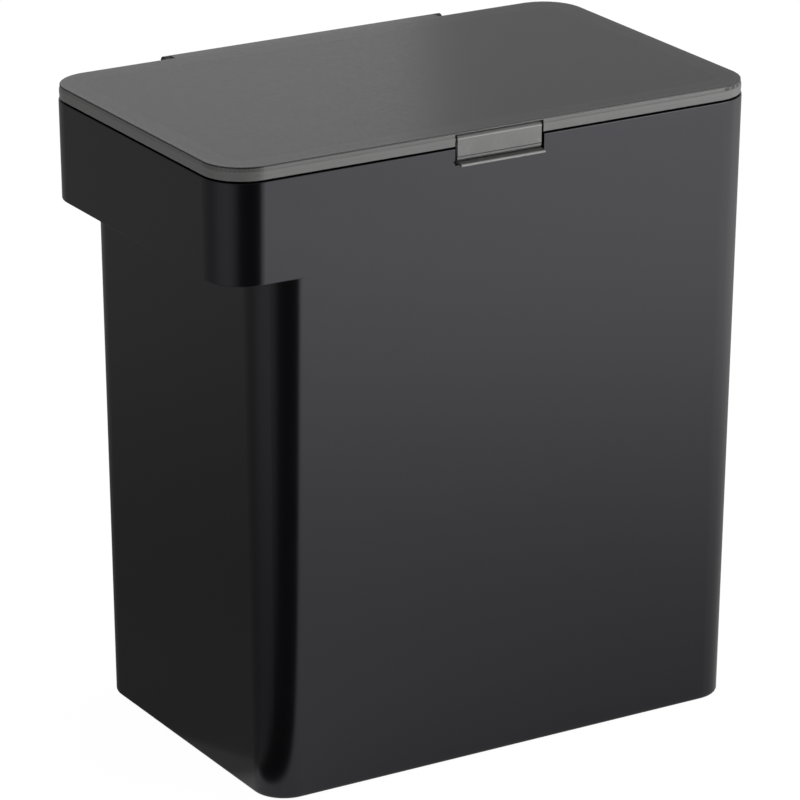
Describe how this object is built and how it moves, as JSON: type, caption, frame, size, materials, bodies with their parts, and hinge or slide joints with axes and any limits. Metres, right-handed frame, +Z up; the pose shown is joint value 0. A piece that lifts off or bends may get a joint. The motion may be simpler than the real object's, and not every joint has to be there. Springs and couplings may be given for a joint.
{
  "type": "pet food storage bin",
  "caption": "Tall drafted food storage tub with a stepped hand hold on one side, a translucent rear-hinged lid with a seal and a front flap latch.",
  "frame": {"origin": "middle of the base, on the plane the bin stands on, under the middle of the lid", "axes": "+Z up, the latch faces -Y, the hinge is at +Y and the stepped hand hold at -X"},
  "size_m": [0.2806, 0.1837, 0.305],
  "materials": {
    "black_plastic": "fine satin moulded ABS",
    "smoked_plastic": "smoked translucent, polished",
    "silicone": "matt silicone",
    "steel": "drawn stainless"
  },
  "bodies": {
    "bin": {"bin_body": "black_plastic", "hinge_pin": "steel"},
    "lid": {"lid": "smoked_plastic", "lid_gasket": "silicone", "latch_pin": "steel"},
    "latch": {"front_latch": "smoked_plastic"}
  },
  "joints": [
    {"name": "lid_hinge", "type": "hinge", "parent": "bin", "child": "lid", "pos_m": [0, 0.089, 0.302], "axis": [-1, 0, 0], "range_deg": [0, 105]},
    {"name": "latch_swing", "type": "hinge", "parent": "lid", "child": "latch", "pos_m": [0, -0.0829, 0.3017], "axis": [-1, 0, 0], "range_deg": [0, 90]}
  ]
}
